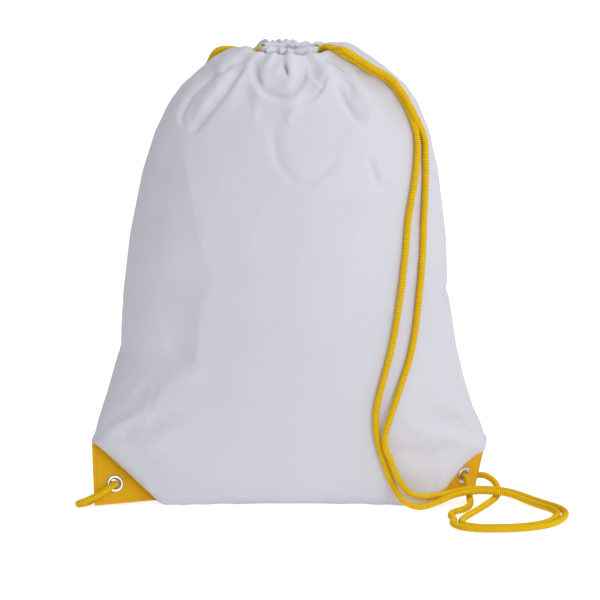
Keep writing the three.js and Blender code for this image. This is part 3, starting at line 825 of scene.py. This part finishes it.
class Surface:
    """The finished cloth, to lay the cords on."""

    def __init__(self, grids):
        points, faces, total = [], [], 0
        for facing, grid in grids:
            rows, columns = grid.shape[:2]
            index = np.arange(rows * columns).reshape(rows, columns) + total
            points.append(grid.reshape(-1, 3))
            faces += grid_faces(index, facing)
            total += rows * columns
        self.tree = BVHTree.FromPolygons(np.concatenate(points).tolist(), faces)

    def clear(self, path):
        """Moves the path's points off the cloth until they have room."""
        moved = path.copy()
        for i, p in enumerate(path):
            place, normal = self.tree.find_nearest(Vector(p), CORD_ROOM + 14)[:2]
            if place is None or abs(p[0]) < NECK_REACH:
                continue
            height = (Vector(p) - place) @ normal
            if height < CORD_ROOM:
                moved[i] = p + np.array(normal) * (CORD_ROOM - height)
        return moved

    def lay_on_top(self, x, y):
        """The cloth's highest point at x and y, and its outward normal."""
        hit = self.tree.ray_cast(Vector((x, y, 500)), Vector((0, 0, -1)))
        return np.array(hit[0]), np.array(hit[1])

    def lay(self, x, z, facing):
        """The cloth's outermost point at x and z, and its outward normal."""
        hit = self.tree.ray_cast(Vector((x, facing * 200, z)), Vector((0, -facing, 0)))
        if hit[0] is None:
            hit = self.tree.find_nearest(Vector((x, facing * 12, z)))
        return np.array(hit[0]), np.array(hit[1])


def thinned(path):
    """The path rounded through every sixth of its points."""
    return dense_path(np.concatenate([path[:-1:6], path[-1:]]))


def smoothed(path, passes):
    for _ in range(passes):
        path[1:-1] = 0.5 * path[1:-1] + 0.25 * (path[:-2] + path[2:])
    return path


def laid_path(surface, points):
    """A cord's path. A place of x and z with a facing is laid on the cloth's front or back,
    and one of x and y with TOP on its upper side. The last number is a lift off the cloth."""
    full = []
    for place in points:
        if len(place) == 3:
            full.append(np.array(place, float))
            continue
        a, b, facing, lift = place
        spot, normal = surface.lay_on_top(a, b) if facing == TOP else surface.lay(a, b, facing)
        full.append(spot + normal * (CORD_RADIUS + lift))
    path = dense_path(full)
    for _ in range(3):
        middle = surface.clear(path)
        middle[0], middle[-1] = path[0], path[-1]
        path = smoothed(middle, 25)
    path[:, 2] = np.maximum(path[:, 2], CORD_RADIUS + 0.15)
    return thinned(path)


CHANNEL_HEIGHT = {LEFT: 381.5, RIGHT: 390.5}    # each cord's middle line in the hem
FLOOR_LINE = 3.2                                # and on the floor


def cord_exit(side, facing):
    return (side * 26.4, facing * 3.4, CHANNEL_HEIGHT[side] + 0.6)


def laid(facing, lift, *places):
    """Places on the cloth that share a facing and a lift."""
    return [(*place, facing, lift) for place in places]


def on_floor(*places):
    return [(*place, FLOOR_LINE) for place in places]


# Each hanging strand, from the hem over the shoulder and down to the knot's loop.
RIGHT_A = [
    cord_exit(RIGHT, FRONT),
    *laid(TOP, 0.4, (33, -12.5), (43, -18), (54, -17.5), (67, -15.5)),
    *laid(FRONT, 0.3, (79.3, 368), (89.4, 358.3), (101.5, 336), (106.4, 318), (106.2, 300),
                      (103, 275), (99, 250), (95, 205), (91, 175), (86, 145), (79, 118),
                      (74, 96), (72.5, 80), (74.5, 62), (79, 44)),
    (86, 26, FRONT, 0.5), (96, -64, 11), (110, -63, 4.5), (126, -54, 6.5), (141, -42.5, 10),
    (160, -33.5, 10.5), (185, -34.5, 9), (207, -46, 3.6),
    *on_floor((224, -66), (228, -84), (221, -104), (208, -116), (190, -122.5), (165, -124),
              (150, -118), (145.5, -107), (149, -92), (158, -72), (166, -54), (173, -36),
              (178, -18)),
    (179, -6, 4.2),
]
RIGHT_B = [
    cord_exit(RIGHT, BACK), (32, -6, TOP, 0.3), (112, 318, FRONT, 0.5),
    *laid(FRONT, 0.3, (113.2, 300), (113, 270), (112, 245), (110.5, 215), (108.5, 185),
                      (105, 155), (100.5, 132)),
    (93, 110, FRONT, 1.2), (85.5, 88, FRONT, 3.6), (79.5, 70, FRONT, 5.9), (79, 58, FRONT, 6),
    (82, 47, FRONT, 6), (90, 31, FRONT, 4.5), (101, -60, 17), (113, -56, 11.5), (127, -47, 11),
    (141, -35.5, 11), (160, -26.5, 11), (187, -27.5, 9), (213, -41, 3.6),
    *on_floor((231, -63), (235, -84), (227, -108), (211, -122.5), (190, -129.5), (164, -131),
              (146, -124), (138.3, -110), (140, -98), (137, -86), (139, -75), (147, -67),
              (153, -56), (154.5, -40), (154, -26)),
    (153.5, -20, 5.5),
]
LEFT_A = [
    cord_exit(LEFT, FRONT), (-31, 5, 385), (-40, 15, TOP, 0.5), (-50, 15, TOP, 2.6),
    (-60, 15.5, TOP, 2.8), (-70, 369.5, BACK, 1.5),
    *laid(BACK, 0.3, (-82, 352.5), (-91, 339), (-97, 325), (-100, 300), (-103, 260),
                     (-104.5, 210), (-105, 165), (-106, 125)),
    (-108, 80, BACK, 0.4), (-110.5, 61, 40), (-113, 62, 15), (-118.5, 58, 4.2),
    *on_floor((-130, 46), (-142, 25), (-150.5, 3), (-152.5, -12)),
]
LEFT_B = [
    cord_exit(LEFT, BACK), (-31, 11, 385),
    *laid(TOP, 0.3, (-39, 21), (-48, 26), (-56, 27)),
    (-65, 367, BACK, 0.4),
    *laid(BACK, 0.3, (-76, 352.5), (-84, 339), (-90, 325), (-93, 300), (-95.5, 260),
                     (-97, 210), (-97.5, 165), (-98.5, 125)),
    (-100.5, 80, BACK, 0.4), (-103, 65, 40), (-105, 63.5, 15), (-110.5, 55, 4.2),
    *on_floor((-123.5, 41.5), (-135, 21), (-143, 1), (-145, -12)),
]
OVER_STRAND = np.array([1.9, -4.3, 3.4])    # right strand b from strand a, on the shoulder
EXIT_REACH = 14                             # points smoothed on each side of a cord's exit
STRAP_TOP = {RIGHT: 322.0, LEFT: 327.0}     # height where a shoulder piece becomes the strap


def channel_pass(side, facing):
    """A cord's way through one hem, from its turn to the exit at its own side."""
    height = CHANNEL_HEIGHT[side]
    points = [(-side * 25.5, facing * 0.5, height), (-side * 25.5, facing * 2, height)]
    for angle in np.linspace(math.radians(25), math.radians(155), 11):
        x, y = neck_place(angle, 0, facing)
        points.append((-side * x, y, height))
    return dense_path(points + [cord_exit(side, facing)])


def hanging_cord(surface, side, facing, points):
    """One path through the hem, over the shoulder and down, and where its pieces meet."""
    channel = channel_pass(side, facing)
    path = np.concatenate([channel[:-1], laid_path(surface, points)])
    near = slice(len(channel) - EXIT_REACH, len(channel) + EXIT_REACH)
    path[near] = smoothed(path[near].copy(), 40)
    path = thinned(path)
    leave = int(np.argmin(np.linalg.norm(path - channel[-1], axis=1)))
    below = np.nonzero(path[leave:, 2] < STRAP_TOP[side])[0][0]
    return path, leave, leave + int(below)


KNOT_PLACE = (17.5, 16.0, -9.6)             # on the flap


def left_eyelet_path():
    places = [(18.5, 16.5, -4.4), (19.7, 17, 0), (18.5, 16.5, 4.6), (13, 13.5, 6.2),
              (5, 9.5, 6), (-4, 6, 5.6), (-11, 3.8, 3.4), (-13.8, 3, -1), (-11, 3.2, -5.2),
              (-4, 4, -8)]
    points = [on_flap(LEFT, *place) for place in places]
    return dense_path(points + [(-167, -30, 3.2), (-158, -19, 3.2), (-152.5, -12, 3.2)])


def left_tail_path():
    points = [on_flap(LEFT, 17.8, 14.5, -13), on_flap(LEFT, 18, 13.5, -17)]
    return dense_path(points + [(-155, -20, 5.5), (-149, -15.5, 3.4), (-145, -12, 3.2)])


def right_eyelet_path():
    points = [on_flap(RIGHT, 18.5, 16.5, -4.4), on_flap(RIGHT, 19.7, 17, 0),
              on_flap(RIGHT, 19.5, 15.6, 4.6)]
    return dense_path(points + [(152.6, -19.3, 12), (153.4, -20.5, 8.5), (153.5, -20, 5.5)])


def right_edge_path():
    places = [(12, 15, -10), (5, 13.5, -8.8), (0, 12, -6), (-4.5, 10.4, -2.5)]
    points = [on_flap(RIGHT, *place) for place in places]
    return dense_path(points + [(168, 6.5, 13.8), (174.5, 2, 10.8), (178.3, -3, 6.5),
                                (179, -6, 4.2)])


def knot_path(side):
    """A tight overhand knot, as a small trefoil facing the flap."""
    points = []
    for turn in np.linspace(0, 2 * math.pi, 48, endpoint=False):
        across = math.sin(turn) + 2 * math.sin(2 * turn)
        up = math.cos(turn) - 2 * math.cos(2 * turn)
        rise = -math.sin(3 * turn)
        inward, high, back = KNOT_PLACE
        points.append(on_flap(side, inward + 1.05 * across, high + 1.05 * up, back + 1.5 * rise))
    points.append(points[0])
    return dense_path(points)[:-1]


# ---- materials ----------------------------------------------------------------------------
def new_material(name, **settings):
    made = bpy.data.materials.new(name)
    made.use_nodes = True
    shader = made.node_tree.nodes["Principled BSDF"]
    for key, value in settings.items():
        shader.inputs[key.replace("_", " ")].default_value = value
    return made, made.node_tree, shader


def link(tree, a, a_out, b, b_in):
    tree.links.new(a.outputs[a_out], b.inputs[b_in])


def noise(tree, scale, detail):
    place = tree.nodes.new("ShaderNodeTexCoord")
    made = tree.nodes.new("ShaderNodeTexNoise")
    made.inputs["Scale"].default_value = scale
    made.inputs["Detail"].default_value = detail
    link(tree, place, "Object", made, "Vector")
    return made


def ramp(tree, source, stops):
    made = tree.nodes.new("ShaderNodeValToRGB")
    for element, (position, colour) in zip(made.color_ramp.elements, stops):
        element.position = position
        element.color = (*colour, 1)
    link(tree, source, "Fac", made, "Fac")
    return made


def vary(tree, shader, scale, detail, stops, socket="Base Color"):
    """Lets a noise drive one of the shader's inputs between two values."""
    link(tree, ramp(tree, noise(tree, scale, detail), stops), "Color", shader, socket)


def bands(tree, direction, scale):
    place = tree.nodes.new("ShaderNodeTexCoord")
    made = tree.nodes.new("ShaderNodeTexWave")
    made.bands_direction = direction
    made.inputs["Scale"].default_value = scale
    made.inputs["Distortion"].default_value = 0.6
    made.inputs["Detail"].default_value = 1
    made.inputs["Detail Scale"].default_value = 0.3
    link(tree, place, "UV", made, "Vector")
    return made


def add_bump(tree, shader, source, output, strength, distance):
    made = tree.nodes.new("ShaderNodeBump")
    made.inputs["Strength"].default_value = strength
    made.inputs["Distance"].default_value = distance
    link(tree, source, output, made, "Height")
    if shader.inputs["Normal"].links:
        link(tree, shader.inputs["Normal"].links[0].from_node, "Normal", made, "Normal")
    link(tree, made, "Normal", shader, "Normal")


def mixed(tree, a, b, blend):
    made = tree.nodes.new("ShaderNodeMix")
    made.data_type = "RGBA"
    made.blend_type = blend
    made.inputs[0].default_value = 1
    link(tree, a, "Color", made, 6)
    link(tree, b, "Color", made, 7)
    return made


def cloth_material():
    made, tree, shader = new_material("satin_polyester", Roughness=0.5, Sheen_Weight=0.25,
                                      Sheen_Roughness=0.4, Specular_IOR_Level=0.4)
    vary(tree, shader, 9, 4, [(0.3, (0.69, 0.69, 0.755)), (0.7, (0.72, 0.72, 0.785))])
    weave = mixed(tree, bands(tree, "X", 420), bands(tree, "Y", 420), "ADD")
    add_bump(tree, shader, weave, 2, 0.12, 0.00015)
    wrinkles = noise(tree, 38, 3)
    add_bump(tree, shader, wrinkles, "Fac", 0.16, 0.004)
    vary(tree, shader, 900, 2, [(0.2, (0.44,) * 3), (0.8, (0.58,) * 3)], "Roughness")
    return made


def patch_material():
    made, tree, shader = new_material("yellow_leatherette", Roughness=0.5,
                                      Specular_IOR_Level=0.16)
    vary(tree, shader, 45, 4, [(0.25, (0.81, 0.42, 0.0)), (0.75, (0.89, 0.485, 0.001))])
    place = tree.nodes.new("ShaderNodeTexCoord")
    grain = tree.nodes.new("ShaderNodeTexVoronoi")
    grain.feature = "DISTANCE_TO_EDGE"
    grain.inputs["Scale"].default_value = 1100
    link(tree, place, "Object", grain, "Vector")
    add_bump(tree, shader, grain, "Distance", 0.5, 0.0003)
    soft = noise(tree, 120, 3)
    add_bump(tree, shader, soft, "Fac", 0.2, 0.001)
    return made


def cord_material():
    made, tree, shader = new_material("yellow_braid", Roughness=0.55, Specular_IOR_Level=0.15)
    tint = ramp(tree, noise(tree, 260, 3), [(0.3, (0.90, 0.57, 0.002)), (0.75, (0.97, 0.65, 0.004))])
    # painted shade: the bands darken the cord's colour in the grooves between the ribs
    shade = ramp(tree, bands(tree, "X", 165), [(0.1, (0.68, 0.56, 0.46)), (0.55, (1,) * 3)])
    tint_with_painted_groove_shade = mixed(tree, tint, shade, "MULTIPLY")
    link(tree, tint_with_painted_groove_shade, 2, shader, "Base Color")
    fibres = noise(tree, 3200, 2)
    add_bump(tree, shader, fibres, "Fac", 0.35, 0.0002)
    ribs = bands(tree, "X", 160)
    add_bump(tree, shader, ribs, "Fac", 0.3, 0.0003)
    return made


def thread_material():
    made, tree, shader = new_material("yellow_thread", Roughness=0.6)
    vary(tree, shader, 800, 2, [(0.3, (0.66, 0.36, 0.004)), (0.7, (0.82, 0.50, 0.01))])
    return made


def nickel_material():
    made, tree, shader = new_material("nickel", Metallic=1.0, Roughness=0.22)
    vary(tree, shader, 300, 4, [(0.3, (0.62, 0.64, 0.67)), (0.7, (0.78, 0.80, 0.82))])
    vary(tree, shader, 2500, 3, [(0.3, (0.16,) * 3), (0.8, (0.34,) * 3)], "Roughness")
    return made


CLOTH = cloth_material()
PATCH = patch_material()
CORD = cord_material()
THREAD = thread_material()
NICKEL = nickel_material()


# ---- the pieces baked in place; the joints' bodies are passed on but not used -------------
MOUTH_DIRECTION = np.array([0, -math.sin(math.radians(50)), math.cos(math.radians(50))])
MOUTH_BLEND = (254.4, 268.0)         # distances along it, for the front half


def bend(piece, still, moving, start, end):
    """Bakes the piece's transform into its mesh. The two bodies and the stretch from start to end
    are not used.
    """
    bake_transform(piece)


def follow_mouth(piece, facing):
    """Passes the neck's half to bend with its mouth body and the bag, which only bakes it in place.
    """
    start, end = (MOUTH_DIRECTION * (1, -facing, 1) * reach for reach in MOUTH_BLEND)
    bend(piece, "bag", "mouth_front" if facing == FRONT else "mouth_back", start, end)


def side_name(side):
    return "left" if side == LEFT else "right"


FLAP_BEND = 8.0


def follow_corner(piece, side):
    """Works out the line where a flap joins the sack and passes it to bend, which only bakes the
    piece in place.
    """
    flap = FLAPS[side]
    fold = (flap["inner"] + flap["upper"]) / 2
    edge = flap["upper"] - flap["inner"]
    edge /= np.linalg.norm(edge)
    outward = flap["tip"] - fold
    outward -= edge * (outward @ edge)
    outward /= np.linalg.norm(outward)
    bend(piece, "bag", side_name(side) + "_corner", fold, fold + outward * FLAP_BEND)


# ---- building -----------------------------------------------------------------------------
def build_cloth():
    grids = dict(zip((FRONT, BACK), simulated_sack()))
    fine = {f: finished_grid(grids[f], f) for f in (FRONT, BACK)}
    for facing, name in ((FRONT, "front"), (BACK, "back")):
        heights = np.linspace(0, SEAM_HEIGHT, len(fine[facing]))
        panel = sheet_piece(name + "_cloth", fine[facing], facing, heights, CLOTH, above_patches)
        folded = hem_points(facing)
        heights = SEAM_HEIGHT + HEM_ROW * np.arange(len(folded))
        hem = sheet_piece(name + "_hem", folded, -facing, heights, CLOTH)
        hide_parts(name + "_panel")
        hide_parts(name + "_channel")
        for piece in (panel, hem):
            follow_mouth(piece, facing)
    return Surface(fine.items())


def build_corner(side):
    name = side_name(side)
    for facing, face in ((FRONT, "front"), (BACK, "back")):
        node = f"{name}_corner_patch_{face}"
        patch = patch_piece(f"{name}_patch_{face}", side, facing, PATCH)
        stitches = patch_stitches(f"{name}_patch_{face}_stitches", side, facing, THREAD)
        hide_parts(node)
        for piece in (patch, stitches):
            follow_corner(piece, side)
    eyelet = lathe_on_flap(name + "_eyelet_metal", side, eyelet_profile(), NICKEL)
    washer = lathe_on_flap(name + "_washer_metal", side, washer_profile(), NICKEL)
    knot = cord_piece(name + "_knot", knot_path(side), CORD, KNOT_RADIUS, closed=True)
    for piece, node in ((eyelet, "eyelet"), (washer, "eyelet_washer"), (knot, "cord_knot")):
        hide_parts(f"{name}_{node}")
        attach(piece, name + "_corner")


def node_cord(node, path, part=slice(None), suffix=""):
    """A cord in place of a CAD node, or with a suffix one more length of that node's cord."""
    piece = cord_piece(node + "_braid" + suffix, path, CORD, part=part)
    if not suffix:
        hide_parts(node)
    return piece


def corner_cords():
    """The short cords at the flaps, each baked in place through bend."""
    for side, cord, path, start, end in (
            ("left", "eyelet_cord", left_eyelet_path(), (0, -38, 0), (0, -14, 0)),
            ("left", "knot_tail", left_tail_path(), (0, -24, 0), (0, -14, 0)),
            ("right", "eyelet_cord", right_eyelet_path(), (0, 0, 14), (0, 0, 6)),
            ("right", "edge_cord", right_edge_path(), (162, 0, 0), (178, 0, 0))):
        bend(node_cord(f"{side}_{cord}", path), side + "_corner", "bag", start, end)


BRIM = {RIGHT: FRONT, LEFT: BACK}       # the half of the neck that each side's strands lie over
SWING_BELOW = 245.0                     # a strap strand swings fully below this height
# along y: where a strand's last length starts, and where it stays still and swings fully
STRAP_FOOT = {RIGHT: (-70, -20, -66), LEFT: (50, -12, 46)}


def strap_lengths(path, strap, side):
    """A strap strand in three lengths: two ends, which are only baked in place, and the middle,
    which swings rigidly.
    """
    foot, still, moving = STRAP_FOOT[side]
    upper = strap + int(np.nonzero(path[strap:, 2] < SWING_BELOW)[0][0])
    beyond = path[:, 1] > foot if side == LEFT else path[:, 1] < foot
    lower = int(np.nonzero(beyond)[0][-1])
    return [
        ("_top", slice(strap - 1, upper + 2), (0, 0, STRAP_TOP[side]), (0, 0, SWING_BELOW)),
        ("", slice(upper - 1, lower + 2), None, None),        # the CAD node's own length
        ("_foot", slice(lower - 1, None), (0, still, 0), (0, moving, 0)),
    ]


def build_strap(path, strap, side, letter):
    name = side_name(side)
    for suffix, part, start, end in strap_lengths(path, strap, side):
        piece = node_cord(f"{name}_strap_strand_{letter}", path, part, suffix)
        if suffix:
            bend(piece, "bag", name + "_strap", start, end)
        else:
            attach(piece, name + "_strap")


def build_strand(surface, side, facing, letter, points):
    """All pieces of one strand share its path, so that the braid runs on through."""
    name = side_name(side)
    path, leave, strap = hanging_cord(surface, side, facing, points)
    face = "front" if facing == FRONT else "back"
    through = node_cord(f"{name}_cord_{face}_pass", path, slice(0, leave + 2))
    follow_mouth(through, facing)
    over = node_cord(f"{name}_shoulder_strand_{letter}", path, slice(leave - 1, strap + 2))
    follow_mouth(over, BRIM[side])
    build_strap(path, strap, side, letter)
    return path


def build_cords(surface):
    under = build_strand(surface, RIGHT, FRONT, "a", RIGHT_A)
    shoulder = under[(under[:, 0] > NECK_REACH) & (under[:, 2] > 336)][::36] + OVER_STRAND
    build_strand(surface, RIGHT, BACK, "b", RIGHT_B[:2] + list(shoulder) + RIGHT_B[2:])
    build_strand(surface, LEFT, FRONT, "a", LEFT_A)
    build_strand(surface, LEFT, BACK, "b", LEFT_B)
    corner_cords()


cloth_surface = build_cloth()
build_corner(LEFT)
build_corner(RIGHT)
build_cords(cloth_surface)


# ---- studio -------------------------------------------------------------------------------
SUBJECT = Vector((0.0086, 0, 0.171))
ELEVATION = math.radians(14)
DISTANCE = 10.0
FRAME_WIDTH = 0.5136                 # width seen at the subject


def build_camera():
    lens = bpy.data.cameras.new("camera")
    lens.sensor_width = 36
    lens.lens = 36 * DISTANCE / FRAME_WIDTH
    made = place_object("camera", lens)
    away = Vector((0, -math.cos(ELEVATION), math.sin(ELEVATION)))
    made.location = SUBJECT + away * DISTANCE
    made.rotation_euler = (-away).to_track_quat("-Z", "Y").to_euler()
    bpy.context.scene.camera = made


def build_floor():
    """White, and a little brighter to the camera than to the light it sends back."""
    size = 4.0
    mesh = bpy.data.meshes.new("floor")
    mesh.from_pydata([(-size, -size, 0), (size, -size, 0), (size, size, 0), (-size, size, 0)],
                     [], [(0, 1, 2, 3)])
    paint, tree, shader = new_material("studio_white", Roughness=0.9, Specular_IOR_Level=0.05)
    vary(tree, shader, 2, 2, [(0.3, (0.93,) * 3), (0.7, (0.94,) * 3)])
    shader.inputs["Emission Color"].default_value = (1, 1, 1, 1)
    rays = tree.nodes.new("ShaderNodeLightPath")
    glow = tree.nodes.new("ShaderNodeMapRange")
    glow.inputs["To Min"].default_value = 0.2
    glow.inputs["To Max"].default_value = 0.62
    link(tree, rays, "Is Camera Ray", glow, "Value")
    link(tree, glow, "Result", shader, "Emission Strength")
    mesh.materials.append(paint)
    place_object("floor", mesh)


def area_light(name, place, power, size, colour):
    light = bpy.data.lights.new(name, "AREA")
    light.energy = power
    light.size = size
    light.color = colour
    made = place_object(name, light)
    made.location = place
    aim = Vector((0, 0, 0.2)) - Vector(place)
    made.rotation_euler = aim.to_track_quat("-Z", "Y").to_euler()


def build_world():
    world = bpy.data.worlds.new("studio")
    bpy.context.scene.world = world
    world.use_nodes = True
    tree = world.node_tree
    soft = tree.nodes["Background"]
    soft.inputs["Color"].default_value = (0.96, 0.97, 1.0, 1)
    soft.inputs["Strength"].default_value = 0.45
    seen = tree.nodes.new("ShaderNodeBackground")
    seen.inputs["Strength"].default_value = 1.1
    rays = tree.nodes.new("ShaderNodeLightPath")
    choose = tree.nodes.new("ShaderNodeMixShader")
    tree.links.new(rays.outputs["Is Camera Ray"], choose.inputs[0])
    tree.links.new(soft.outputs[0], choose.inputs[1])
    tree.links.new(seen.outputs[0], choose.inputs[2])
    tree.links.new(choose.outputs[0], tree.nodes["World Output"].inputs["Surface"])


build_camera()
build_floor()
build_world()
area_light("overhead", (1.1, -0.5, 2.4), 34, 3.2, (1, 1, 1))
area_light("key", (1.3, -2.2, 0.9), 10.5, 0.9, (1, 0.99, 0.98))
bpy.context.scene.view_settings.view_transform = "Standard"
